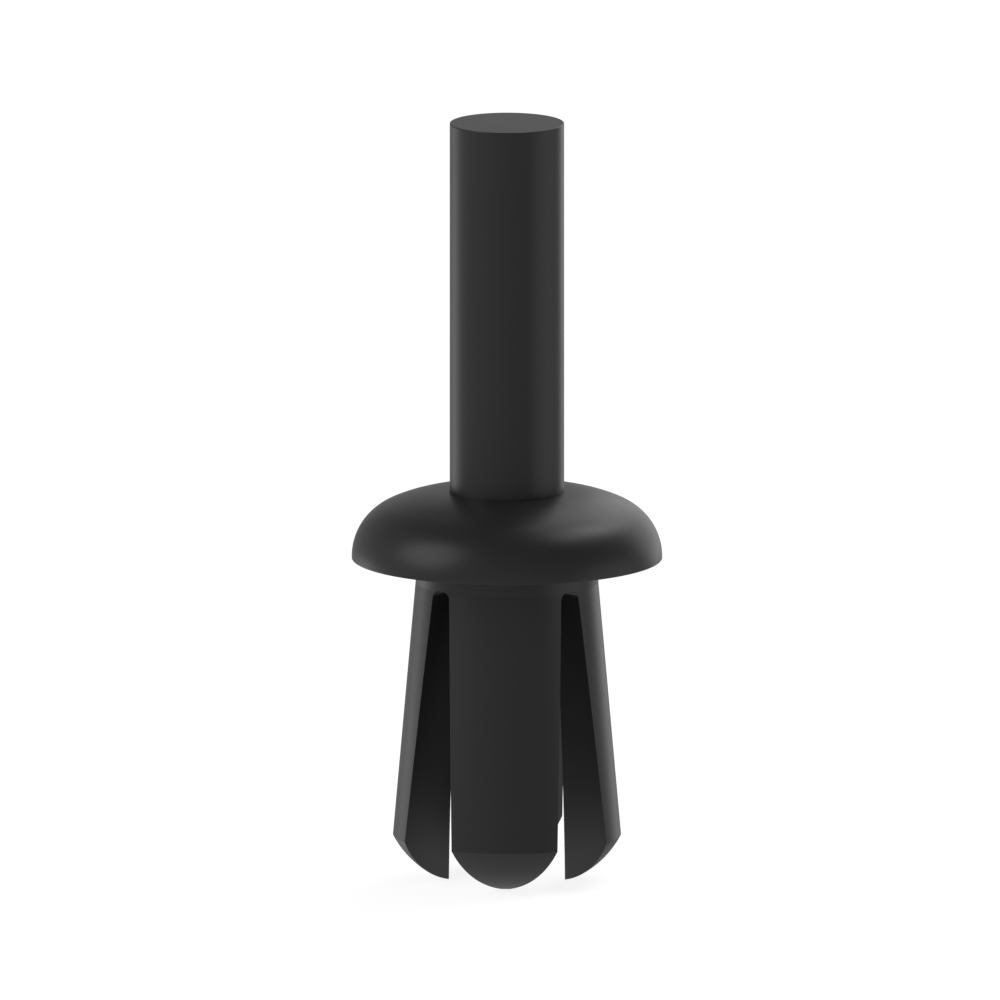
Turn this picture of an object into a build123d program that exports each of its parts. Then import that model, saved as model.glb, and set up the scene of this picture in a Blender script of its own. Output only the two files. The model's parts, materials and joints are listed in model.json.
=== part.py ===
from build123d import *
from math import atan2, degrees, radians, tan
import os

# Plastic push rivet: a headed body with a split, flaring shank, and the pin that locks its legs.
# Sizes are in millimetres. The origin is the centre of the head's underside, on the rivet's axis.
# +Z runs up through the crown and along the pin. The pin stands raised, ready to be driven.

# Head
head_diameter = 8.0
head_height = 1.75
rim_round = 1.5
rim_land = 0.04

# Shank
neck_diameter = 4.71
neck_length = 0.63
flare_angle = 5.05
flare_length = 6.6
tip_length = 1.18
tip_round = 2.38

# Slots that split the shank into legs
slot_cuts = 2
slot_start = 0.6
slot_width = 0.6
slot_angle = 5.0
slot_corner_round = 0.22

# Drive pin: its running clearance on each side, and how much of it the bore holds before it is driven
pin_diameter = 2.95
pin_clearance = 0.025
pin_hold = 0.53
pin_lead = 0.2

# Largest share of the room beside it that a round or a lead may take
round_share = 0.9
lead_share = 0.5

# Sizes that follow from those above
head_radius = head_diameter / 2
neck_radius = neck_diameter / 2
pin_radius = pin_diameter / 2
bore_radius = pin_radius + pin_clearance
corner_depth = neck_length + flare_length
corner_radius = neck_radius + flare_length * tan(radians(flare_angle))
shank_length = corner_depth + tip_length
pin_length = head_height + shank_length

# How far a cutter runs on past the body
cut_margin = head_radius


def crown_outline():
    """Rim and crown in section, from the bore's edge out to the rim's upright land.

    The crown is an arc that leaves the bore's edge level, and it runs on smoothly into the round
    over the rim. The round is kept below the height of the head above its land.
    """
    height = head_height - rim_land
    rim_radius = min(rim_round, round_share * height)
    rim_centre = (head_radius - rim_radius, rim_land)
    run = rim_centre[0] - bore_radius
    crown_radius = (run**2 + height**2 - rim_radius**2) / (2 * (height - rim_radius))
    crown_centre = (bore_radius, head_height - crown_radius)
    meeting = degrees(atan2(rim_centre[1] - crown_centre[1], run))
    crown = CenterArc(crown_centre, crown_radius, meeting, 90 - meeting)
    rim = CenterArc(rim_centre, rim_radius, 0, meeting)
    return crown, rim


def body_section():
    """Half section of the unsplit body, on the +X side of the axis."""
    with BuildSketch(Plane.XZ) as section:
        with BuildLine():
            crown_outline()
            Polyline(
                (head_radius, rim_land),
                (head_radius, 0),
                (neck_radius, 0),
                (neck_radius, -neck_length),
                (corner_radius, -corner_depth),
            )
            RadiusArc((corner_radius, -corner_depth), (bore_radius, -shank_length), tip_round)
            Line((bore_radius, -shank_length), (bore_radius, head_height))
        make_face()
    return section.sketch


def slot_cutter(turn):
    """Wedge that cuts one slot right across the shank, turned about the axis by turn degrees.

    Its narrow end is up, with both corners rounded, and it runs out below the tips.
    """
    top = -slot_start
    bottom = -shank_length - cut_margin
    half_top = slot_width / 2
    half_bottom = half_top + (top - bottom) * tan(radians(slot_angle))
    with BuildSketch(Plane.XZ) as wedge:
        with BuildLine():
            Polyline(
                (-half_top, top),
                (half_top, top),
                (half_bottom, bottom),
                (-half_bottom, bottom),
                close=True,
            )
        make_face()
        upper_corners = wedge.vertices().group_by(Axis.Z)[-1]
        fillet(upper_corners, min(slot_corner_round, round_share * half_top))
    solid = extrude(wedge.sketch, corner_radius + cut_margin, both=True)
    return Rot(0, 0, turn) * solid


def rivet_body():
    """Head, neck and split shank, moulded in one piece round the bore."""
    body = revolve(body_section(), Axis.Z)
    legs = 2 * slot_cuts
    for cut in range(slot_cuts):
        body -= slot_cutter(360 / legs * (cut + 0.5))
    return body


def drive_pin():
    """Plain round pin, flat on top, with a small lead at the end that enters the bore."""
    top = head_height + pin_length - pin_hold
    pin = Pos(0, 0, top - pin_length / 2) * Cylinder(pin_radius, pin_length)
    lower_edge = pin.edges().group_by(Axis.Z)[0]
    return chamfer(lower_edge, min(pin_lead, lead_share * pin_radius))


os.makedirs("parts", exist_ok=True)
export_step(rivet_body(), "parts/rivet_body.step")
export_step(drive_pin(), "parts/drive_pin.step")
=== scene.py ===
import json
import logging
from dataclasses import dataclass, field
from enum import Enum
from math import asin, atan2, cos, hypot, pi, radians, sin, sqrt, tan
from typing import NamedTuple

import bmesh
import bpy
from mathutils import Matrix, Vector


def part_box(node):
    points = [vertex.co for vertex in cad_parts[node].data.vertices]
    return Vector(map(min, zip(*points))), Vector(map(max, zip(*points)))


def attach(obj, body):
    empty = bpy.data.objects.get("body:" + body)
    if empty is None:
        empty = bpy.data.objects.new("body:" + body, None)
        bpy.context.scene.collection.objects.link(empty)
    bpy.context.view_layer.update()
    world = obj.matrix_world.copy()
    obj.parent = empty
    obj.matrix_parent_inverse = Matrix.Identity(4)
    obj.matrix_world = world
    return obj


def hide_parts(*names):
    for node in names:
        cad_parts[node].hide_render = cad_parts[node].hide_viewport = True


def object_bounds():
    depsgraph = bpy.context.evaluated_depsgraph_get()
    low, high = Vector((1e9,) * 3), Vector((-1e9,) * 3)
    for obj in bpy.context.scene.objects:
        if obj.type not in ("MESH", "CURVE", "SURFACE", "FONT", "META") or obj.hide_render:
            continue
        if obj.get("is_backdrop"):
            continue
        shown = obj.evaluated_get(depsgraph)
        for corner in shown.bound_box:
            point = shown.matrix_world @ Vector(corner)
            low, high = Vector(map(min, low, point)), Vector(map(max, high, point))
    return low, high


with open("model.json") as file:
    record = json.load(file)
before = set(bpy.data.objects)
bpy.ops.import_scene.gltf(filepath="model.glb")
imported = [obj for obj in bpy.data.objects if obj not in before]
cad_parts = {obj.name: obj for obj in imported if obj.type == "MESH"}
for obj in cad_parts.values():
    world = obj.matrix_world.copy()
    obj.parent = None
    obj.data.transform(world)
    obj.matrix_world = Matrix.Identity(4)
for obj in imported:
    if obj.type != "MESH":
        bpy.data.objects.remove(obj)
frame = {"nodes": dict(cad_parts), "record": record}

# Plastic push rivet: a domed head on a split, flaring shank, and the round pin that locks its legs.
# Sections are worked out in millimetres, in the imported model's frame, and are scaled as they become meshes.

MM = 0.001
QUARTER_TURN = pi / 2
HALF_TURN = pi
FULL_TURN = 2 * pi
WELD_DISTANCE = 1e-7
EDGE_MASK = "edge_mask"

# The largest share of a stretch that the support at each of its ends may take.
SUPPORT_SHARE = 0.3

# How far apart nodes stand in a tree, and where a Mix node in colour mode keeps its colours.
NODE_SPACING = 190
FIRST_COLOUR = 6
SECOND_COLOUR = 7
MIXED_COLOUR = 2

# A link in a tree: a node's name and its output, then the next node's name and its input.
Link = tuple[str, str | int, str, str | int]

log = logging.getLogger("push_rivet")


class Body(Enum):
    """The two mouldings that move against each other."""

    RIVET = "rivet"
    PIN = "pin"


class Node(Enum):
    """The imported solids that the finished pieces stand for."""

    RIVET_BODY = "rivet_body"
    DRIVE_PIN = "drive_pin"


class Slot(Enum):
    """The record's material slots."""

    BODY_NYLON = "body_nylon"
    PIN_NYLON = "pin_nylon"


class Sample(NamedTuple):
    """A point on a half section, in millimetres.

    The tilt is the direction of its normal: 0 faces away from the axis, a quarter turn faces up and a
    half turn faces the axis. The edge value is 1 on a small round that softens an edge.
    """

    radius: float
    height: float
    tilt: float
    edge: float = 0.0

    def inset(self, depth: float) -> tuple[float, float]:
        """Radius and height of the point that lies this deep under the surface."""
        return self.radius - depth * cos(self.tilt), self.height - depth * sin(self.tilt)

    def turned(self, angle: float) -> "Spot":
        """The point turned about the axis, from the +X side."""
        place = Vector((self.radius * cos(angle), self.radius * sin(angle), self.height))
        return Spot(place, self.edge)


class Spot(NamedTuple):
    """A point in space, in millimetres, with its edge value."""

    place: Vector
    edge: float

    def mirrored(self) -> "Spot":
        """The same point on the other side of the XZ plane."""
        return Spot(Vector((self.place.x, -self.place.y, self.place.z)), self.edge)


class LegRow(NamedTuple):
    """One level of a leg: its outer and bore samples, and the round on its edges there."""

    outer: Sample
    bore: Sample
    soft: float


class BodySteps(NamedTuple):
    """How many steps the body's mesh takes over each of its stretches."""

    bore: int = 4
    crown: int = 20
    rim: int = 18
    underside: int = 5
    neck: int = 4
    slot_corner: int = 10
    flare: int = 22
    tip: int = 14
    leg_width: int = 28
    soft_edge: int = 4


class PinSteps(NamedTuple):
    """How many steps the pin's section takes over each of its stretches, and its turn round the axis."""

    flat_end: int = 3
    side: int = 12
    lead: int = 1
    soft_edge: int = 4
    turn: int = 112


def spread(first: float, last: float, steps: int) -> list[float]:
    """Evenly spaced values from first to last, both included."""
    return [first + (last - first) * step / steps for step in range(steps + 1)]


def supported(first: float, last: float, steps: int, support: float) -> list[float]:
    """Evenly spaced values with one more close to each end, which keeps the shading true between.

    Args:
        first: The value at one end.
        last: The value at the other end.
        steps: How many even steps lie between the two supports.
        support: How far each support lies from its end, where there is room.

    Returns:
        The values in order, three more than steps.
    """
    near = min(support / abs(last - first), SUPPORT_SHARE) * (last - first)
    return [first, *spread(first + near, last - near, steps), last]


def section_line(start: Sample, end: Sample, steps: int, support: float) -> list[Sample]:
    """Samples along the straight stretch of a section between two that it already has.

    Args:
        start: The sample before the stretch.
        end: The sample after it.
        steps: How many even steps the stretch has between its supports.
        support: How far the first and last new samples lie from start and end.

    Returns:
        The samples between the two, with the tilt that the stretch has.
    """
    run = end.radius - start.radius
    rise = end.height - start.height
    tilt = atan2(run, -rise)
    ways = supported(0.0, hypot(run, rise), steps, support)[1:-1]
    return [Sample(start.radius + way * sin(tilt), start.height - way * cos(tilt), tilt) for way in ways]


def section_arc(
    centre: tuple[float, float], radius: float, angles: list[float], edge: float = 0.0, hollow: bool = False
) -> list[Sample]:
    """Samples along an arc of a section.

    Args:
        centre: The arc's centre, as radius and height.
        radius: The arc's own radius.
        angles: The directions from the centre at which samples lie.
        edge: The edge value that the samples get.
        hollow: True where the arc bends round empty space, so that its normals point to its centre.

    Returns:
        One sample for each angle.
    """
    turn = HALF_TURN if hollow else 0.0
    return [
        Sample(centre[0] + radius * cos(angle), centre[1] + radius * sin(angle), angle + turn, edge)
        for angle in angles
    ]


def section_edge(
    corner: tuple[float, float], tilt_before: float, tilt_after: float, soft: float, steps: int
) -> list[Sample]:
    """Samples of the small round that softens a section's outward corner.

    Args:
        corner: Where the two stretches would meet, as radius and height.
        tilt_before: The tilt of the stretch that leads to the corner.
        tilt_after: The tilt of the stretch that leaves it.
        soft: The round's radius.
        steps: How many steps the round has.

    Returns:
        The round's samples, from one stretch to the other.
    """
    middle = (tilt_before + tilt_after) / 2
    depth = soft / cos((tilt_before - tilt_after) / 2)
    centre = (corner[0] - depth * cos(middle), corner[1] - depth * sin(middle))
    return section_arc(centre, soft, spread(tilt_before, tilt_after, steps), edge=1.0)


@dataclass
class Sheet:
    """Collects the quads of a surface, strip by strip, in millimetres."""

    places: list[Vector] = field(default_factory=list)
    edges: list[float] = field(default_factory=list)
    faces: list[tuple[int, int, int, int]] = field(default_factory=list)

    def add_row(self, row: list[Spot]) -> list[int]:
        """Adds a row's points.

        Args:
            row: The points.

        Returns:
            The numbers that they get.
        """
        first = len(self.places)
        self.places.extend(spot.place for spot in row)
        self.edges.extend(spot.edge for spot in row)
        return list(range(first, len(self.places)))

    def strip(self, upper: list[Spot], lower: list[Spot]) -> None:
        """Joins two rows that have as many points with a strip of quads.

        Args:
            upper: The row on one side.
            lower: The row on the other side.
        """
        above = self.add_row(upper)
        below = self.add_row(lower)
        for k in range(len(above) - 1):
            self.faces.append((above[k], above[k + 1], below[k + 1], below[k]))

    def strips(self, rows: list[list[Spot]]) -> None:
        """Joins each row to the next."""
        for upper, lower in zip(rows, rows[1:]):
            self.strip(upper, lower)

    def mesh(self, name: str) -> bpy.types.Mesh:
        """Makes the sheet a welded mesh in metres.

        Args:
            name: The mesh's name.

        Returns:
            The mesh, with the edge values as an attribute of its points.
        """
        made = bpy.data.meshes.new(name)
        made.from_pydata([tuple(place * MM) for place in self.places], [], self.faces)
        mask = made.attributes.new(EDGE_MASK, "FLOAT", "POINT")
        mask.data.foreach_set("value", self.edges)
        weld(made)
        return made


def weld(mesh: bpy.types.Mesh) -> int:
    """Merges the points that coincide, turns the faces outwards and shades them smooth.

    Args:
        mesh: The mesh to mend, in metres.

    Returns:
        How many of its edges don't lie between exactly two faces.
    """
    work = bmesh.new()
    work.from_mesh(mesh)
    bmesh.ops.remove_doubles(work, verts=work.verts, dist=WELD_DISTANCE)
    bmesh.ops.dissolve_degenerate(work, edges=work.edges, dist=WELD_DISTANCE)
    bmesh.ops.recalc_face_normals(work, faces=work.faces)
    for face in work.faces:
        face.smooth = True
    open_edges = sum(not edge.is_manifold for edge in work.edges)
    work.to_mesh(mesh)
    work.free()
    mesh.update()
    return open_edges


def section_chain(name: str, section: list[Sample]) -> bpy.types.Mesh:
    """Makes a section a chain of points and edges in the XZ plane.

    Args:
        name: The mesh's name.
        section: The section's samples, in order.

    Returns:
        A mesh in metres without faces, with the edge values as an attribute of its points.
    """
    made = bpy.data.meshes.new(name)
    places = [(sample.radius * MM, 0.0, sample.height * MM) for sample in section]
    made.from_pydata(places, [(k, k + 1) for k in range(len(places) - 1)], [])
    mask = made.attributes.new(EDGE_MASK, "FLOAT", "POINT")
    mask.data.foreach_set("value", [sample.edge for sample in section])
    return made


def cleared_tree(owner: bpy.types.Material | bpy.types.World) -> bpy.types.NodeTree:
    """Makes a material or a world work with nodes.

    Args:
        owner: The material or world.

    Returns:
        Its tree, without nodes.
    """
    owner.use_nodes = True
    owner.node_tree.nodes.clear()
    return owner.node_tree


def add_nodes(tree: bpy.types.NodeTree, kinds: dict[str, str]) -> bpy.types.Nodes:
    """Adds nodes to a tree, laid out from left to right.

    Args:
        tree: The tree that gets them.
        kinds: The node type for each name that a node gets.

    Returns:
        The tree's nodes, to be looked up by name.
    """
    for place, (name, kind) in enumerate(kinds.items()):
        node = tree.nodes.new(kind)
        node.name = node.label = name
        node.location = (NODE_SPACING * place, 0)
    return tree.nodes


def join_nodes(tree: bpy.types.NodeTree, links: list[Link]) -> None:
    """Links the nodes that add_nodes gave a tree.

    Args:
        tree: The tree.
        links: The links to make.
    """
    for source, output, target, entry in links:
        tree.links.new(tree.nodes[source].outputs[output], tree.nodes[target].inputs[entry])


def new_group(name: str, kind: str, inputs: dict[str, str], outputs: dict[str, str]) -> bpy.types.NodeTree:
    """Starts a node group.

    Args:
        name: The group's name.
        kind: The type of its tree.
        inputs: The socket type of each input, by its name.
        outputs: The socket type of each output, by its name.

    Returns:
        The group, without nodes.
    """
    tree = bpy.data.node_groups.new(name, kind)
    for side, sockets in (("INPUT", inputs), ("OUTPUT", outputs)):
        for label, socket_type in sockets.items():
            tree.interface.new_socket(name=label, in_out=side, socket_type=socket_type)
    return tree


def round_tree(name: str, kinds: dict[str, str]) -> bpy.types.NodeTree:
    """Starts a Geometry Nodes tree that makes a whole piece in equal turns about the Z axis.

    It brings two nodes for the others to link to: turn, which makes the number of a turn an angle, and
    welded, which takes the piece, merges its points and passes it on to get the material.

    Args:
        name: The tree's name.
        kinds: The node type for the name of each further node. They aren't linked yet.

    Returns:
        The tree, with the inputs Geometry, Turns and Material.
    """
    geometry = {"Geometry": "NodeSocketGeometry"}
    settings = {"Turns": "NodeSocketInt", "Material": "NodeSocketMaterial"}
    tree = new_group(name, "GeometryNodeTree", geometry | settings, geometry)
    node = add_nodes(
        tree,
        {
            "given": "NodeGroupInput",
            "index": "GeometryNodeInputIndex",
            "turn_angle": "ShaderNodeMath",
            "turn": "ShaderNodeMath",
            **kinds,
            "welded": "GeometryNodeMergeByDistance",
            "dressed": "GeometryNodeSetMaterial",
            "result": "NodeGroupOutput",
        },
    )
    node["turn_angle"].operation = "DIVIDE"
    node["turn_angle"].inputs[0].default_value = FULL_TURN
    node["turn"].operation = "MULTIPLY"
    node["welded"].inputs["Distance"].default_value = WELD_DISTANCE
    join_nodes(
        tree,
        [
            ("given", "Turns", "turn_angle", 1),
            ("turn_angle", 0, "turn", 1),
            ("welded", 0, "dressed", "Geometry"),
            ("given", "Material", "dressed", "Material"),
            ("dressed", 0, "result", 0),
        ],
    )
    return tree


def turned_tree() -> bpy.types.NodeTree:
    """The tree that turns a section, a chain of points in the XZ plane, about the Z axis.

    It lays a grid with a row for each point of the section and a column for each turn, moves each grid
    point to its section point, turned by its column, and welds the seam and the poles.

    Returns:
        The Geometry Nodes tree.
    """
    tree = round_tree(
        "turned_about_axis",
        {
            "count": "GeometryNodeAttributeDomainSize",
            "columns": "ShaderNodeMath",
            "grid": "GeometryNodeMeshGrid",
            "row": "ShaderNodeMath",
            "share": "ShaderNodeMath",
            "column": "ShaderNodeMath",
            "place": "GeometryNodeInputPosition",
            "section_place": "GeometryNodeSampleIndex",
            "mask": "GeometryNodeInputNamedAttribute",
            "section_mask": "GeometryNodeSampleIndex",
            "turned_place": "ShaderNodeVectorRotate",
            "moved": "GeometryNodeSetPosition",
            "masked": "GeometryNodeStoreNamedAttribute",
        },
    )
    node = tree.nodes
    node["columns"].operation = "ADD"
    node["columns"].inputs[1].default_value = 1
    node["row"].operation = "FLOORED_MODULO"
    node["share"].operation = "DIVIDE"
    node["column"].operation = "FLOOR"
    node["section_place"].data_type = "FLOAT_VECTOR"
    node["turned_place"].rotation_type = "Z_AXIS"
    for name in ("mask", "section_mask", "masked"):
        node[name].data_type = "FLOAT"
    for name in ("mask", "masked"):
        node[name].inputs["Name"].default_value = EDGE_MASK
    join_nodes(
        tree,
        [
            ("given", "Geometry", "count", 0),
            ("given", "Turns", "columns", 0),
            ("columns", 0, "grid", "Vertices X"),
            ("count", "Point Count", "grid", "Vertices Y"),
            ("index", 0, "row", 0),
            ("count", "Point Count", "row", 1),
            ("index", 0, "share", 0),
            ("count", "Point Count", "share", 1),
            ("share", 0, "column", 0),
            ("column", 0, "turn", 0),
            ("given", "Geometry", "section_place", "Geometry"),
            ("place", 0, "section_place", "Value"),
            ("row", 0, "section_place", "Index"),
            ("given", "Geometry", "section_mask", "Geometry"),
            ("mask", 0, "section_mask", "Value"),
            ("row", 0, "section_mask", "Index"),
            ("section_place", 0, "turned_place", "Vector"),
            ("turn", 0, "turned_place", "Angle"),
            ("grid", "Mesh", "moved", "Geometry"),
            ("turned_place", 0, "moved", "Position"),
            ("moved", 0, "masked", "Geometry"),
            ("section_mask", 0, "masked", "Value"),
            ("masked", 0, "welded", "Geometry"),
        ],
    )
    return tree


def repeated_tree() -> bpy.types.NodeTree:
    """The tree that repeats one leg's share of the moulding round the Z axis and welds the shares.

    Returns:
        The Geometry Nodes tree.
    """
    tree = round_tree(
        "repeated_round_axis",
        {
            "points": "GeometryNodePoints",
            "rotation": "ShaderNodeCombineXYZ",
            "placed": "GeometryNodeInstanceOnPoints",
            "realised": "GeometryNodeRealizeInstances",
        },
    )
    join_nodes(
        tree,
        [
            ("given", "Turns", "points", "Count"),
            ("index", 0, "turn", 0),
            ("turn", 0, "rotation", "Z"),
            ("points", 0, "placed", "Points"),
            ("given", "Geometry", "placed", "Instance"),
            ("rotation", 0, "placed", "Rotation"),
            ("placed", 0, "realised", "Geometry"),
            ("realised", 0, "welded", "Geometry"),
        ],
    )
    return tree


def grow(
    name: str, seed: bpy.types.Mesh, tree: bpy.types.NodeTree, turns: int, finish: bpy.types.Material
) -> bpy.types.Object:
    """Runs a Geometry Nodes tree on a mesh and keeps the result as a plain piece.

    Args:
        name: The piece's name.
        seed: The mesh that the tree starts from.
        tree: The tree to run, as round_tree starts it.
        turns: How many turns it makes the piece in.
        finish: The material.

    Returns:
        An object at the origin whose mesh is the tree's result, with no modifier left.
    """
    piece = bpy.data.objects.new(name, seed)
    bpy.context.scene.collection.objects.link(piece)
    modifier = piece.modifiers.new(tree.name, "NODES")
    modifier.node_group = tree
    inputs = [item for item in tree.interface.items_tree if item.in_out == "INPUT"]
    identifiers = {item.name: item.identifier for item in inputs}
    modifier[identifiers["Turns"]] = turns
    modifier[identifiers["Material"]] = finish
    depsgraph = bpy.context.evaluated_depsgraph_get()
    result = bpy.data.meshes.new_from_object(
        piece.evaluated_get(depsgraph), preserve_all_data_layers=True, depsgraph=depsgraph
    )
    piece.modifiers.remove(modifier)
    piece.data = result
    bpy.data.meshes.remove(seed)
    result.name = name
    open_edges = weld(result)
    if open_edges:
        log.warning("%s has %d open edges", name, open_edges)
    return piece


def grain_group() -> bpy.types.NodeTree:
    """The shader group for a spark-finished mould: a fine grain, and soft clouds where the melt flowed.

    Returns:
        A group with the inputs Vector, Grain and Cloud, which are sizes in metres, and the outputs
        Height and Mottle, both from 0 to 1.
    """
    tree = new_group(
        "mould_grain",
        "ShaderNodeTree",
        {"Vector": "NodeSocketVector", "Grain": "NodeSocketFloat", "Cloud": "NodeSocketFloat"},
        {"Height": "NodeSocketFloat", "Mottle": "NodeSocketFloat"},
    )
    node = add_nodes(
        tree,
        {
            "given": "NodeGroupInput",
            "grain_scale": "ShaderNodeMath",
            "cloud_scale": "ShaderNodeMath",
            "grain": "ShaderNodeTexNoise",
            "cloud": "ShaderNodeTexNoise",
            "result": "NodeGroupOutput",
        },
    )
    for name in ("grain_scale", "cloud_scale"):
        node[name].operation = "DIVIDE"
        node[name].inputs[0].default_value = 1.0
    for name, detail, roughness in (("grain", 1.0, 0.4), ("cloud", 3.0, 0.45)):
        node[name].inputs["Detail"].default_value = detail
        node[name].inputs["Roughness"].default_value = roughness
    join_nodes(
        tree,
        [
            ("given", "Grain", "grain_scale", 1),
            ("given", "Cloud", "cloud_scale", 1),
            ("given", "Vector", "grain", "Vector"),
            ("given", "Vector", "cloud", "Vector"),
            ("grain_scale", 0, "grain", "Scale"),
            ("cloud_scale", 0, "cloud", "Scale"),
            ("grain", 0, "result", "Height"),
            ("cloud", 0, "result", "Mottle"),
        ],
    )
    return tree


def edge_group() -> bpy.types.NodeTree:
    """The shader group for the softened edges' painted sheen and lower roughness, broken up by the grain's
    clouds.

    Returns:
        A group with the inputs Mask, Breakup and Amount, and one output from 0 to 1: the painted sheen on the
        softened edges, which also lowers their roughness.
    """
    tree = new_group(
        "edge_sheen_polish",
        "ShaderNodeTree",
        {"Mask": "NodeSocketFloat", "Breakup": "NodeSocketFloat", "Amount": "NodeSocketFloat"},
        {"Sheen": "NodeSocketFloat"},
    )
    node = add_nodes(
        tree,
        {
            "given": "NodeGroupInput",
            "patches": "ShaderNodeMapRange",
            "on_edges": "ShaderNodeMath",
            "sheen_strength": "ShaderNodeMath",
            "result": "NodeGroupOutput",
        },
    )
    for name, level in (("From Min", 0.35), ("From Max", 0.65), ("To Min", 0.4)):
        node["patches"].inputs[name].default_value = level
    node["on_edges"].operation = "MULTIPLY"
    node["sheen_strength"].operation = "MULTIPLY"
    node["sheen_strength"].use_clamp = True
    join_nodes(
        tree,
        [
            ("given", "Breakup", "patches", "Value"),
            ("given", "Mask", "on_edges", 0),
            ("patches", "Result", "on_edges", 1),
            ("on_edges", 0, "sheen_strength", 0),
            ("given", "Amount", "sheen_strength", 1),
            ("sheen_strength", 0, "result", "Sheen"),
        ],
    )
    return tree


@dataclass(frozen=True)
class SatinNylon:
    """Black nylon as moulded: a smooth satin with a fine grain, and a painted sheen with a lower roughness on
    its softened edges.

    Lengths are in millimetres.
    """

    name: str
    colour: tuple[float, float, float]
    roughness: float = 0.36
    roughness_spread: float = 0.03
    refraction: float = 1.5
    specular: float = 0.5
    darkest_tone: float = 0.66
    lightest_tone: float = 0.82
    # The softened edges' colour is lightened by this factor: a painted sheen.
    sheen_tone: float = 1.1
    edge_polish: float = 0.06
    # How strongly the painted edge sheen, and the edges' lower roughness, show.
    sheen_amount: float = 0.6
    grain_size: float = 0.04
    grain_depth: float = 0.0003
    cloud_size: float = 2.2

    def toned(self, factor: float) -> tuple[float, float, float, float]:
        """The nylon's colour, made lighter or darker by a factor."""
        red, green, blue = (channel * factor for channel in self.colour)
        return red, green, blue, 1.0

    def material(self, grain: bpy.types.NodeTree, edges: bpy.types.NodeTree) -> bpy.types.Material:
        """Builds the finish.

        Args:
            grain: The group that gives the grain and the clouds.
            edges: The group that gives the softened edges' painted sheen and lower roughness.

        Returns:
            A material whose colour, roughness and relief vary over the surface.
        """
        made = bpy.data.materials.new(self.name)
        tree = cleared_tree(made)
        node = add_nodes(
            tree,
            {
                "coordinates": "ShaderNodeTexCoord",
                "mask": "ShaderNodeAttribute",
                "grain": "ShaderNodeGroup",
                "edges": "ShaderNodeGroup",
                "tone": "ShaderNodeMix",
                "sheened_tone": "ShaderNodeMix",
                "satin": "ShaderNodeMapRange",
                "polish": "ShaderNodeMath",
                "relief": "ShaderNodeBump",
                "nylon": "ShaderNodeBsdfPrincipled",
                "surface": "ShaderNodeOutputMaterial",
            },
        )
        node["mask"].attribute_name = EDGE_MASK
        node["grain"].node_tree = grain
        node["grain"].inputs["Grain"].default_value = self.grain_size * MM
        node["grain"].inputs["Cloud"].default_value = self.cloud_size * MM
        node["edges"].node_tree = edges
        node["edges"].inputs["Amount"].default_value = self.sheen_amount
        for name in ("tone", "sheened_tone"):
            node[name].data_type = "RGBA"
        node["tone"].inputs[FIRST_COLOUR].default_value = self.toned(self.darkest_tone)
        node["tone"].inputs[SECOND_COLOUR].default_value = self.toned(self.lightest_tone)
        # The softened edges get a lighter colour here: a painted sheen.
        node["sheened_tone"].inputs[SECOND_COLOUR].default_value = self.toned(self.sheen_tone)
        node["satin"].inputs["To Min"].default_value = self.roughness - self.roughness_spread
        node["satin"].inputs["To Max"].default_value = self.roughness + self.roughness_spread
        node["polish"].operation = "MULTIPLY_ADD"
        node["polish"].inputs[1].default_value = -self.edge_polish
        node["relief"].inputs["Distance"].default_value = self.grain_depth * MM
        node["nylon"].inputs["IOR"].default_value = self.refraction
        node["nylon"].inputs["Specular IOR Level"].default_value = self.specular
        join_nodes(
            tree,
            [
                ("coordinates", "Object", "grain", "Vector"),
                ("mask", "Fac", "edges", "Mask"),
                ("grain", "Mottle", "edges", "Breakup"),
                ("grain", "Mottle", "tone", "Factor"),
                ("tone", MIXED_COLOUR, "sheened_tone", FIRST_COLOUR),
                ("edges", "Sheen", "sheened_tone", "Factor"),
                ("grain", "Mottle", "satin", "Value"),
                ("edges", "Sheen", "polish", 0),
                ("satin", "Result", "polish", 2),
                ("grain", "Height", "relief", "Height"),
                ("sheened_tone", MIXED_COLOUR, "nylon", "Base Color"),
                ("polish", 0, "nylon", "Roughness"),
                ("relief", "Normal", "nylon", "Normal"),
                ("nylon", "BSDF", "surface", "Surface"),
            ],
        )
        return made


@dataclass(frozen=True)
class VSlot:
    """Half the outline of a slot, seen along it: a roof, a rounded corner and a leaning wall.

    It is drawn narrower by the allowance, because softened edges make a gap look wider.
    """

    start: float = 0.6
    width: float = 0.6
    edge_allowance: float = 0.02
    wall_angle: float = radians(5.0)
    corner_round: float = 0.22

    @property
    def half_width(self) -> float:
        """Half the width at the roof, as it is drawn."""
        return (self.width - self.edge_allowance) / 2

    @property
    def corner_centre(self) -> tuple[float, float]:
        """Half gap and height of the rounded corner's centre."""
        shift = self.corner_round * (tan(self.wall_angle) - 1 / cos(self.wall_angle))
        return self.half_width + shift, -self.start - self.corner_round

    def corner_heights(self, inset: float, steps: int) -> list[float]:
        """Heights down the rounded corner, from roof to wall, of the outline moved into the leg."""
        leans = spread(QUARTER_TURN, self.wall_angle, steps)
        return [self.corner_centre[1] + (self.corner_round + inset) * sin(lean) for lean in leans]

    def wall_at(self, height: float, inset: float) -> tuple[float, float]:
        """Where the slot's outline lies at a height, once it is moved into the leg.

        Args:
            height: The height, at or below the moved roof.
            inset: How far the outline is moved into the leg.

        Returns:
            The half gap there, and the lean of the wall: a quarter turn on the roof, and the wall's own
            angle below the corner.
        """
        centre_gap, centre_height = self.corner_centre
        reach = self.corner_round + inset
        lean = asin(max(-1.0, min(1.0, (height - centre_height) / reach)))
        if lean > self.wall_angle:
            return centre_gap + reach * cos(lean), lean
        wall_gap = self.half_width + inset / cos(self.wall_angle)
        return wall_gap + (-self.start - height) * tan(self.wall_angle), self.wall_angle


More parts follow.
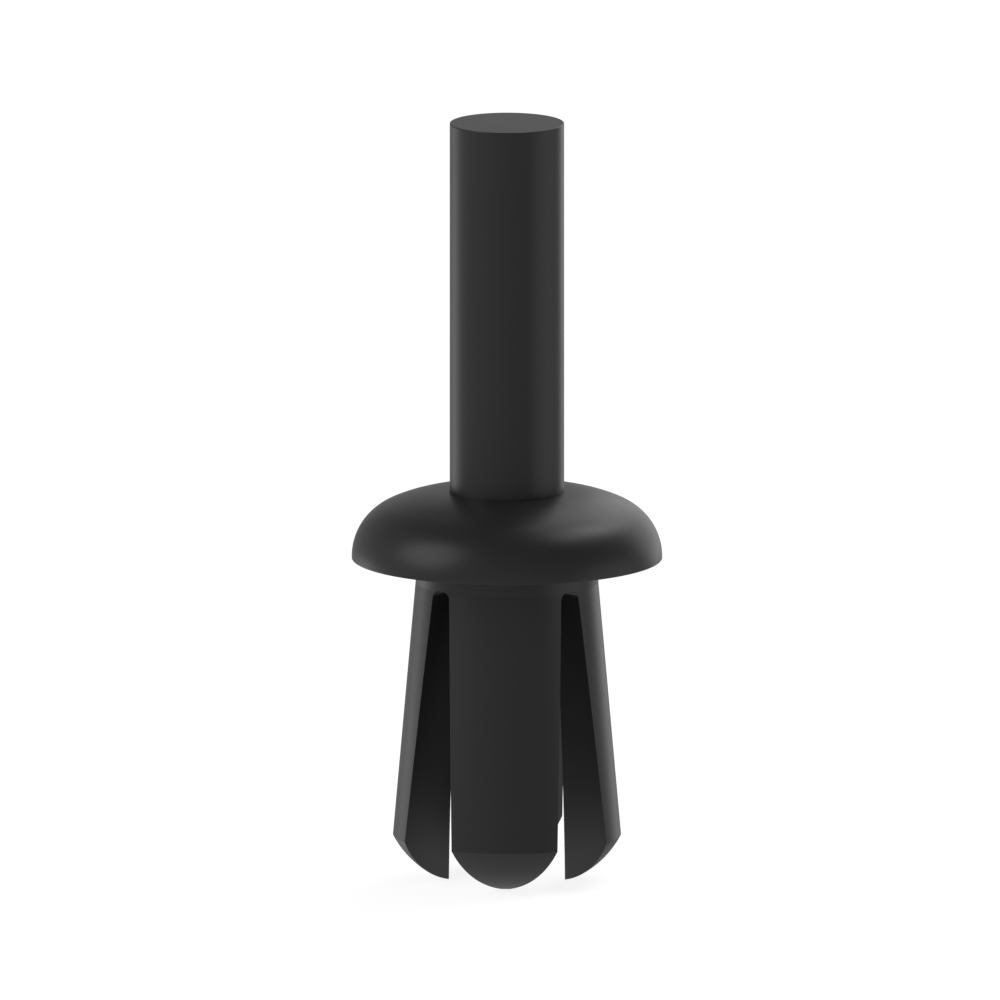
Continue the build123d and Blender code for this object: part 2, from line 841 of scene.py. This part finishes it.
@dataclass
class RivetBody:
    """The moulded body: domed head, short neck, and a flaring shank that is split into four legs."""

    head_radius: float
    head_height: float
    shank_length: float
    bore_radius: float
    pin_radius: float
    slot: VSlot = VSlot()
    rim_round: float = 1.5
    rim_land: float = 0.04
    neck_radius: float = 2.355
    neck_length: float = 0.63
    flare_angle: float = radians(5.05)
    tip_length: float = 1.18
    tip_round: float = 2.38
    legs: int = 4
    grip_gap: float = 0.003
    mouth_lip: float = 0.12
    lip_ramp: float = 0.3
    soft_edge: float = 0.004
    soft_share: float = 0.4
    neck_fillet: float = 0.05
    crease_support: float = 0.02
    crease_room: float = 0.03
    steps: BodySteps = BodySteps()

    @classmethod
    def from_frame(cls) -> "RivetBody":
        """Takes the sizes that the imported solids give.

        Returns:
            The body at the size of the solid that it stands for.
        """
        low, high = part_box(Node.RIVET_BODY.value)
        _, pin_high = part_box(Node.DRIVE_PIN.value)
        solid = frame["nodes"][Node.RIVET_BODY.value].data
        return cls(
            head_radius=high.x / MM,
            head_height=high.z / MM,
            shank_length=-low.z / MM,
            bore_radius=min(hypot(vertex.co.x, vertex.co.y) for vertex in solid.vertices) / MM,
            pin_radius=pin_high.x / MM,
        )

    @property
    def half_share(self) -> float:
        """Half the angle of one leg's share of the moulding, from mid leg to mid slot."""
        return HALF_TURN / self.legs

    @property
    def mouth_radius(self) -> float:
        """Radius of the lip in the bore's mouth, which grips the pin."""
        return self.pin_radius + self.grip_gap

    @property
    def roof_height(self) -> float:
        """Height at which the slot's softened roof begins on the neck."""
        return -self.slot.start + self.soft_edge

    @property
    def corner_depth(self) -> float:
        """How far under the head the flare ends and the tip begins."""
        return self.shank_length - self.tip_length

    @property
    def corner_radius(self) -> float:
        """Radius of the shank where the tip begins."""
        return self.neck_radius + (self.corner_depth - self.neck_length) * tan(self.flare_angle)

    @property
    def tip_centre(self) -> tuple[float, float]:
        """Finds the centre of the arc that rounds a leg's tip, from the flare's end to the bore's rim.

        Returns:
            Its radius and height.
        """
        run = self.corner_radius - self.bore_radius
        chord = hypot(run, self.tip_length)
        rise = sqrt(self.tip_round**2 - (chord / 2) ** 2) / chord
        middle_radius = (self.corner_radius + self.bore_radius) / 2
        middle_height = -(self.corner_depth + self.shank_length) / 2
        return middle_radius - self.tip_length * rise, middle_height + run * rise

    @property
    def toe_centre(self) -> tuple[float, float]:
        """Finds the centre of the small round between a leg's tip and the bore.

        Returns:
            Its radius and height.
        """
        radius = self.bore_radius + self.soft_edge
        centre_radius, centre_height = self.tip_centre
        drop = sqrt((self.tip_round - self.soft_edge) ** 2 - (radius - centre_radius) ** 2)
        return radius, centre_height - drop

    def head_section(self) -> list[Sample]:
        """Draws the section of the unsplit part.

        Returns:
            Its samples, from the bore up over the head and down the neck.
        """
        soft = self.soft_edge
        steps = self.steps
        rise = self.head_height - self.rim_land
        rim_centre = (self.head_radius - self.rim_round, self.rim_land)
        run = rim_centre[0] - self.bore_radius
        crown_radius = (run**2 + rise**2 - self.rim_round**2) / (2 * (rise - self.rim_round))
        crown_centre = (self.bore_radius, self.head_height - crown_radius)
        meeting = atan2(rim_centre[1] - crown_centre[1], run)
        mouth = section_edge(
            (self.mouth_radius, self.head_height), HALF_TURN, QUARTER_TURN, soft, steps.soft_edge
        )
        lip = Sample(self.mouth_radius, self.head_height - self.mouth_lip, HALF_TURN)
        ramp = Sample(self.bore_radius, lip.height - self.lip_ramp, HALF_TURN)
        crown = section_arc(
            crown_centre, crown_radius, supported(QUARTER_TURN, meeting, steps.crown, soft / crown_radius)
        )
        rim = section_arc(rim_centre, self.rim_round, spread(meeting, 0.0, steps.rim)[1:])
        rim_edge = section_edge((self.head_radius, 0.0), 0.0, -QUARTER_TURN, soft, steps.soft_edge)
        fillet = section_arc(
            (self.neck_radius + self.neck_fillet, -self.neck_fillet),
            self.neck_fillet,
            spread(QUARTER_TURN, HALF_TURN, steps.soft_edge),
            hollow=True,
        )
        bore_start = Sample(self.bore_radius, self.roof_height, HALF_TURN)
        neck_end = Sample(self.neck_radius, self.roof_height, 0.0)
        return [
            *section_line(bore_start, ramp, steps.bore, soft),
            ramp,
            lip,
            *mouth,
            *crown,
            *rim,
            *rim_edge,
            *section_line(rim_edge[-1], fillet[0], steps.underside, soft),
            *fillet,
            *section_line(fillet[-1], neck_end, steps.neck, soft),
        ]

    def outer_at(self, height: float) -> Sample:
        """Samples a leg's outside.

        Args:
            height: A height under the slot's roof.

        Returns:
            The sample at that height, on the neck, the flare, the tip or the toe.
        """
        toe_radius, toe_height = self.toe_centre
        centre_radius, centre_height = self.tip_centre
        toe_angle = atan2(toe_height - centre_height, toe_radius - centre_radius)
        if height > -self.neck_length:
            return Sample(self.neck_radius, height, 0.0)
        if height > -self.corner_depth:
            widening = (-self.neck_length - height) * tan(self.flare_angle)
            return Sample(self.neck_radius + widening, height, self.flare_angle)
        if height > centre_height + self.tip_round * sin(toe_angle):
            angle = asin((height - centre_height) / self.tip_round)
            return Sample(centre_radius + self.tip_round * cos(angle), height, angle)
        angle = asin(max(-1.0, (height - toe_height) / self.soft_edge))
        return Sample(toe_radius + self.soft_edge * cos(angle), height, angle, 1.0)

    def bore_at(self, height: float) -> Sample:
        """Samples the bore of a leg.

        Args:
            height: A height under the slot's roof.

        Returns:
            The sample at that height, on the bore or on the toe.
        """
        toe_radius, toe_height = self.toe_centre
        if height >= toe_height:
            return Sample(self.bore_radius, height, HALF_TURN)
        angle = HALF_TURN + asin(min(1.0, (toe_height - height) / self.soft_edge))
        return Sample(toe_radius + self.soft_edge * cos(angle), height, angle, 1.0)

    def leg_heights(self) -> list[float]:
        """Chooses the levels of a leg's rows, with one on each side of the crease under the neck.

        Returns:
            The heights, from the slot's roof down to the toe.
        """
        soft = self.soft_edge
        steps = self.steps
        crease = -self.neck_length
        neck = [crease + shift for shift in (self.crease_support, 0.0, -self.crease_support)]
        corner = self.slot.corner_heights(soft, steps.slot_corner)
        clear_of_crease = [height for height in corner if abs(height - crease) > self.crease_room]
        upper = sorted(clear_of_crease + neck)
        flare = supported(corner[-1], -self.corner_depth, steps.flare, soft)[2:]
        _, toe_height = self.toe_centre
        centre_radius, centre_height = self.tip_centre
        first_angle = asin((-self.corner_depth - centre_height) / self.tip_round)
        last_angle = asin((toe_height - centre_height) / self.tip_round)
        tip_angles = supported(first_angle, last_angle, steps.tip, soft / self.tip_round)[1:-1]
        tip = [centre_height + self.tip_round * sin(angle) for angle in tip_angles]
        toe = [toe_height - soft * sin(turn) for turn in spread(0.0, QUARTER_TURN, steps.soft_edge)]
        return [*reversed(upper), *flare, *tip, *toe]

    def leg_rows(self) -> list[LegRow]:
        """Works out the rows of one leg.

        Returns:
            The rows, from the slot's roof down to the toe.
        """
        rows = []
        for height in self.leg_heights():
            outer = self.outer_at(height)
            thickness = outer.radius - self.bore_at(height).radius
            soft = max(0.0, min(self.soft_edge, self.soft_share * thickness))
            _, inner_height = outer.inset(soft)
            rows.append(LegRow(outer, self.bore_at(inner_height), soft))
        return rows

    def side(self, row: LegRow, at_middle: bool = False) -> list[Spot]:
        """Draws one level round the side of a leg, from its outside to the bore.

        Args:
            row: The level.
            at_middle: True for the points on the slot's middle plane, along its roof.

        Returns:
            The softened outer edge, the wall and the softened bore edge, on the leg's +Y side.
        """
        along = Vector((cos(self.half_share), sin(self.half_share), 0.0))
        across = Vector((-sin(self.half_share), cos(self.half_share), 0.0))
        up = Vector((0.0, 0.0, 1.0))
        turns = spread(0.0, 1.0, self.steps.soft_edge)
        rounds = []
        for sample in (row.outer, row.bore):
            radius, height = sample.inset(row.soft)
            gap, lean = (0.0, QUARTER_TURN) if at_middle else self.slot.wall_at(height, row.soft)
            flat = along * sqrt(radius**2 - gap**2) - across * gap
            surface = flat.normalized() * cos(sample.tilt) + up * sin(sample.tilt)
            wall = across * cos(lean) - up * sin(lean)
            centre = flat + up * height
            rounds.append([Spot(centre + surface.slerp(wall, turn) * row.soft, 1.0) for turn in turns])
        outer_round, bore_round = rounds
        bore_round.reverse()
        start, end = outer_round[-1].place, bore_round[0].place
        support = min(self.soft_edge / max((end - start).length, self.soft_edge), SUPPORT_SHARE)
        wall_spots = [Spot(start.lerp(end, share), 0.0) for share in (support, 1 - support)]
        return [*outer_round, *wall_spots, *bore_round]

    def across(self, sample: Sample, reach: float) -> list[Spot]:
        """Draws one level across a leg, from one side to the other.

        Args:
            sample: The level's radius and height.
            reach: The angle from the leg's middle to each side.

        Returns:
            The points, with a support close to each side.
        """
        angles = supported(-reach, reach, self.steps.leg_width, self.soft_edge / sample.radius)
        return [sample.turned(angle) for angle in angles]

    def head_row(self, sample: Sample) -> list[Spot]:
        """Draws one level of the unsplit part across a leg's share of it.

        Args:
            sample: The level's radius and height.

        Returns:
            The points, from mid slot to mid slot.
        """
        roof_gap, _ = self.slot.corner_centre
        reach = self.half_share - asin(roof_gap / sample.radius)
        last = sample.turned(self.half_share)
        return [last.mirrored(), *self.across(sample, reach), last]

    def share_mesh(self) -> bpy.types.Mesh:
        """Makes one leg with its share of the neck and head.

        Returns:
            The mesh in metres, about the +X side of the axis.
        """
        sheet = Sheet()
        rows = self.leg_rows()
        sides = [self.side(row) for row in rows]
        mirrored = [[spot.mirrored() for spot in side] for side in sides]
        roof = self.side(rows[0], at_middle=True)
        outer_rows = []
        bore_rows = []
        for row, side in zip(rows, sides):
            outer_rows.append(self.across(row.outer, atan2(side[0].place.y, side[0].place.x)))
            bore_rows.append(self.across(row.bore, atan2(side[-1].place.y, side[-1].place.x)))
        for strips in (outer_rows, bore_rows, sides, mirrored):
            sheet.strips(strips)
        sheet.strip(sides[0], roof)
        sheet.strip(mirrored[0], [spot.mirrored() for spot in roof])
        head = [self.head_row(sample) for sample in self.head_section()]
        bore_end = [roof[-1].mirrored(), *bore_rows[0], roof[-1]]
        neck_end = [roof[0].mirrored(), *outer_rows[0], roof[0]]
        sheet.strips([bore_end, *head, neck_end])
        return sheet.mesh("rivet_share")

    def build(self, repeated: bpy.types.NodeTree, finish: bpy.types.Material) -> bpy.types.Object:
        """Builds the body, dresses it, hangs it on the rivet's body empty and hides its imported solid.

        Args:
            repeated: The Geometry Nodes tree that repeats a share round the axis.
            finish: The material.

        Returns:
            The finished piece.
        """
        piece = grow("moulded_rivet_body", self.share_mesh(), repeated, self.legs, finish)
        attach(piece, Body.RIVET.value)
        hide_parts(Node.RIVET_BODY.value)
        return piece


@dataclass
class DrivePin:
    """The round pin that is driven down the bore to lock the legs."""

    radius: float
    bottom: float
    top: float
    lead: float = 0.2
    soft_edge: float = 0.02
    steps: PinSteps = PinSteps()

    @classmethod
    def from_frame(cls) -> "DrivePin":
        """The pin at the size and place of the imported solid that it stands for."""
        low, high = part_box(Node.DRIVE_PIN.value)
        return cls(radius=high.x / MM, bottom=low.z / MM, top=high.z / MM)

    def section(self) -> list[Sample]:
        """Draws the pin's half section.

        Returns:
            Its samples, from the middle of the pin's top to the middle of its lower end.
        """
        soft = self.soft_edge
        steps = self.steps
        lead_tilt = -QUARTER_TURN / 2
        top = (self.radius, self.top)
        lead = (self.radius, self.bottom + self.lead)
        end = (self.radius - self.lead, self.bottom)
        top_centre = Sample(0.0, self.top, QUARTER_TURN)
        top_edge = section_edge(top, QUARTER_TURN, 0.0, soft, steps.soft_edge)
        lead_edge = section_edge(lead, 0.0, lead_tilt, soft, steps.soft_edge)
        end_edge = section_edge(end, lead_tilt, -QUARTER_TURN, soft, steps.soft_edge)
        end_centre = Sample(0.0, self.bottom, -QUARTER_TURN)
        return [
            top_centre,
            *section_line(top_centre, top_edge[0], steps.flat_end, soft),
            *top_edge,
            *section_line(top_edge[-1], lead_edge[0], steps.side, soft),
            *lead_edge,
            *section_line(lead_edge[-1], end_edge[0], steps.lead, soft),
            *end_edge,
            *section_line(end_edge[-1], end_centre, steps.flat_end, soft),
            end_centre,
        ]

    def build(self, turned: bpy.types.NodeTree, finish: bpy.types.Material) -> bpy.types.Object:
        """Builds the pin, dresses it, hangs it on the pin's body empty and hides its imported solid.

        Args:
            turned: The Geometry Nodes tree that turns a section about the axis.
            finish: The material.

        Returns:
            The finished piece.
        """
        seed = section_chain("pin_section", self.section())
        piece = grow("moulded_drive_pin", seed, turned, self.steps.turn, finish)
        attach(piece, Body.PIN.value)
        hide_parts(Node.DRIVE_PIN.value)
        return piece


@dataclass(frozen=True)
class SoftLight:
    """A round soft light that faces the object, given as it looks from there. Angles are in degrees.

    Azimuth 0 is the camera's side and 90 its right. A brightness of 1 looks white.
    """

    name: str
    azimuth: float
    elevation: float
    half_angle: float
    brightness: float

    def build(self, target: Vector, distance: float) -> bpy.types.Object:
        """Builds the light.

        Args:
            target: The point that it faces, in metres.
            distance: How far from the target it stands, in metres.

        Returns:
            The light, which the camera doesn't see.
        """
        azimuth, elevation = radians(self.azimuth), radians(self.elevation)
        direction = Vector((sin(azimuth) * cos(elevation), -cos(azimuth) * cos(elevation), sin(elevation)))
        radius = distance * tan(radians(self.half_angle))
        data = bpy.data.lights.new(self.name, "AREA")
        data.shape = "DISK"
        data.size = 2 * radius
        area = pi * radius**2
        # An area light gives its power over a half sphere, so a brightness of 1 takes pi times its area.
        data.energy = self.brightness * pi * area
        lamp = bpy.data.objects.new(self.name, data)
        bpy.context.scene.collection.objects.link(lamp)
        lamp.location = target + direction * distance
        lamp.rotation_euler = direction.to_track_quat("Z", "Y").to_euler()
        lamp.visible_camera = False
        return lamp


@dataclass
class Studio:
    """A plain pale floor under the rivet, a surround and a few soft lights. Lengths are in metres.

    The surround is white to the camera and a sloping grey to the rivet. The paper white is a little over
    1, so that the picture's background has no specks.
    """

    floor_height: float
    target: Vector
    floor_radius: float = 0.3
    floor_segments: int = 128
    floor_tone: float = 0.45
    floor_lift: float = 0.85
    fade_start: float = 0.02
    fade_end: float = 0.05
    paper_white: float = 1.04
    surround: float = 0.334
    surround_slope: tuple[float, float, float] = (-0.083, -0.033, -0.217)
    light_distance: float = 0.2
    lights: tuple[SoftLight, ...] = (
        SoftLight("right_key_light", 95.0, 62.0, 10.0, 1.76),
        SoftLight("back_key_light", 125.0, 50.0, 10.0, 2.38),
        SoftLight("top_back_light", 152.0, 52.0, 23.0, 0.83),
        SoftLight("right_back_light", 149.0, 14.2, 26.0, 0.83),
        SoftLight("back_light", 185.0, 12.0, 16.0, 0.13),
        SoftLight("left_light", 294.0, 31.0, 22.0, 1.36),
        SoftLight("right_low_light", 83.0, -14.0, 26.0, 0.41),
        SoftLight("left_back_low_light", 233.0, -24.0, 19.0, 0.98),
    )

    def floor_material(self) -> bpy.types.Material:
        """Builds the floor's finish.

        Returns:
            A pale matt material that takes the rivet's shadow, fades to white round it and can't be seen
            from below.
        """
        made = bpy.data.materials.new("studio_floor")
        tree = cleared_tree(made)
        node = add_nodes(
            tree,
            {
                "coordinates": "ShaderNodeTexCoord",
                "distance": "ShaderNodeVectorMath",
                "fade": "ShaderNodeMapRange",
                "paint": "ShaderNodeBsdfDiffuse",
                "lift": "ShaderNodeEmission",
                "paper": "ShaderNodeAddShader",
                "white": "ShaderNodeEmission",
                "floor": "ShaderNodeMixShader",
                "side": "ShaderNodeNewGeometry",
                "clear": "ShaderNodeBsdfTransparent",
                "one_sided": "ShaderNodeMixShader",
                "surface": "ShaderNodeOutputMaterial",
            },
        )
        node["distance"].operation = "LENGTH"
        node["fade"].interpolation_type = "SMOOTHSTEP"
        node["fade"].inputs["From Min"].default_value = self.fade_start
        node["fade"].inputs["From Max"].default_value = self.fade_end
        node["paint"].inputs["Color"].default_value = (self.floor_tone,) * 3 + (1.0,)
        node["lift"].inputs["Strength"].default_value = self.floor_lift
        node["white"].inputs["Strength"].default_value = self.paper_white
        join_nodes(
            tree,
            [
                ("coordinates", "Object", "distance", 0),
                ("distance", "Value", "fade", "Value"),
                ("paint", 0, "paper", 0),
                ("lift", 0, "paper", 1),
                ("fade", "Result", "floor", "Fac"),
                ("paper", 0, "floor", 1),
                ("white", 0, "floor", 2),
                ("side", "Backfacing", "one_sided", "Fac"),
                ("floor", 0, "one_sided", 1),
                ("clear", 0, "one_sided", 2),
                ("one_sided", 0, "surface", "Surface"),
            ],
        )
        return made

    def build_floor(self) -> bpy.types.Object:
        """Builds the round floor on which the legs' toes stand.

        Only the camera sees it, so the light that comes from below still reaches the legs.

        Returns:
            The floor.
        """
        mesh = bpy.data.meshes.new("studio_floor")
        work = bmesh.new()
        bmesh.ops.create_circle(
            work, cap_ends=True, segments=self.floor_segments, radius=self.floor_radius
        )
        bmesh.ops.translate(work, verts=work.verts, vec=(0.0, 0.0, self.floor_height))
        work.to_mesh(mesh)
        work.free()
        mesh.materials.append(self.floor_material())
        floor = bpy.data.objects.new("studio_floor", mesh)
        bpy.context.scene.collection.objects.link(floor)
        floor.visible_diffuse = False
        floor.visible_glossy = False
        floor.visible_shadow = False
        floor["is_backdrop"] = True
        return floor

    def build_world(self) -> bpy.types.World:
        """Builds the surround.

        Returns:
            The world: white to the camera, and as light a grey that slopes gently across it.
        """
        world = bpy.data.worlds.new("studio_surround")
        bpy.context.scene.world = world
        tree = cleared_tree(world)
        node = add_nodes(
            tree,
            {
                "direction": "ShaderNodeTexCoord",
                "slope": "ShaderNodeVectorMath",
                "level": "ShaderNodeMath",
                "lit": "ShaderNodeMath",
                "rays": "ShaderNodeLightPath",
                "strength": "ShaderNodeMix",
                "grey": "ShaderNodeBackground",
                "surround": "ShaderNodeOutputWorld",
            },
        )
        node["slope"].operation = "DOT_PRODUCT"
        node["slope"].inputs[1].default_value = self.surround_slope
        node["level"].operation = "ADD"
        node["level"].inputs[1].default_value = self.surround
        node["lit"].operation = "MAXIMUM"
        node["lit"].inputs[1].default_value = 0.0
        node["strength"].inputs["B"].default_value = self.paper_white
        node["grey"].inputs["Color"].default_value = (1.0, 1.0, 1.0, 1.0)
        join_nodes(
            tree,
            [
                ("direction", "Generated", "slope", 0),
                ("slope", "Value", "level", 0),
                ("level", 0, "lit", 0),
                ("lit", 0, "strength", "A"),
                ("rays", "Is Camera Ray", "strength", "Factor"),
                ("strength", "Result", "grey", "Strength"),
                ("grey", 0, "surround", "Surface"),
            ],
        )
        return world

    def build(self) -> None:
        """Builds the floor, the surround and the lights."""
        self.build_floor()
        self.build_world()
        for light in self.lights:
            light.build(self.target, self.light_distance)


@dataclass(frozen=True)
class PhotoCamera:
    """A flat, scale-true camera at the photograph's viewing angle. Pixels are the photograph's."""

    frame_side_px: float = 1000.0
    head_half_width_px: float = 155.31
    origin_px: tuple[float, float] = (506.97, 557.39)
    azimuth: float = radians(1.39)
    elevation: float = radians(10.36)
    stand_off: float = 0.1
    nearest: float = 0.001
    farthest: float = 10.0

    def build(self, head_radius: float) -> bpy.types.Object:
        """Builds the camera and makes it the scene's.

        Args:
            head_radius: The head's radius in metres, which sets the scale.

        Returns:
            The camera.
        """
        metres_per_px = head_radius / self.head_half_width_px
        back = Vector(
            (
                sin(self.azimuth) * cos(self.elevation),
                -cos(self.azimuth) * cos(self.elevation),
                sin(self.elevation),
            )
        )
        turn = back.to_track_quat("Z", "Y")
        middle = self.frame_side_px / 2
        aside = turn @ Vector((1.0, 0.0, 0.0)) * (middle - self.origin_px[0])
        above = turn @ Vector((0.0, 1.0, 0.0)) * (self.origin_px[1] - middle)
        data = bpy.data.cameras.new("photo_camera")
        data.type = "ORTHO"
        data.ortho_scale = self.frame_side_px * metres_per_px
        data.clip_start = self.nearest
        data.clip_end = self.farthest
        camera = bpy.data.objects.new("photo_camera", data)
        bpy.context.scene.collection.objects.link(camera)
        camera.location = (aside + above) * metres_per_px + back * self.stand_off
        camera.rotation_euler = turn.to_euler()
        bpy.context.scene.camera = camera
        return camera


def slot_colour(slot: Slot) -> tuple[float, float, float]:
    """Looks up the base colour that the record gives a material slot.

    Args:
        slot: The slot.

    Returns:
        The colour's red, green and blue.
    """
    found = next(row for row in frame["record"]["materials"] if row["slot"] == slot.value)
    red, green, blue = found["base_color"]
    return red, green, blue


def report(piece: bpy.types.Object) -> None:
    """Logs a finished piece and its size.

    Args:
        piece: The piece.
    """
    triangles = sum(len(polygon.vertices) - 2 for polygon in piece.data.polygons)
    size = " x ".join(f"{side / MM:.2f}" for side in piece.dimensions)
    log.info("%s: %d triangles, %s mm", piece.name, triangles, size)


def main() -> None:
    """Builds the rivet, its studio and its camera."""
    logging.basicConfig(level=logging.INFO, format="%(name)s %(levelname)s %(message)s")
    packed_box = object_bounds()
    grain = grain_group()
    edges = edge_group()
    body_finish = SatinNylon("body_nylon_satin", slot_colour(Slot.BODY_NYLON))
    pin_finish = SatinNylon("pin_nylon_satin", slot_colour(Slot.PIN_NYLON))
    report(RivetBody.from_frame().build(repeated_tree(), body_finish.material(grain, edges)))
    report(DrivePin.from_frame().build(turned_tree(), pin_finish.material(grain, edges)))
    low, high = packed_box
    Studio(floor_height=low.z, target=(low + high) / 2).build()
    log.info("studio: floor at %.2f mm", low.z / MM)
    PhotoCamera().build(head_radius=high.x)
    bpy.context.scene.view_settings.view_transform = "Standard"


if __name__ == "__main__":
    main()
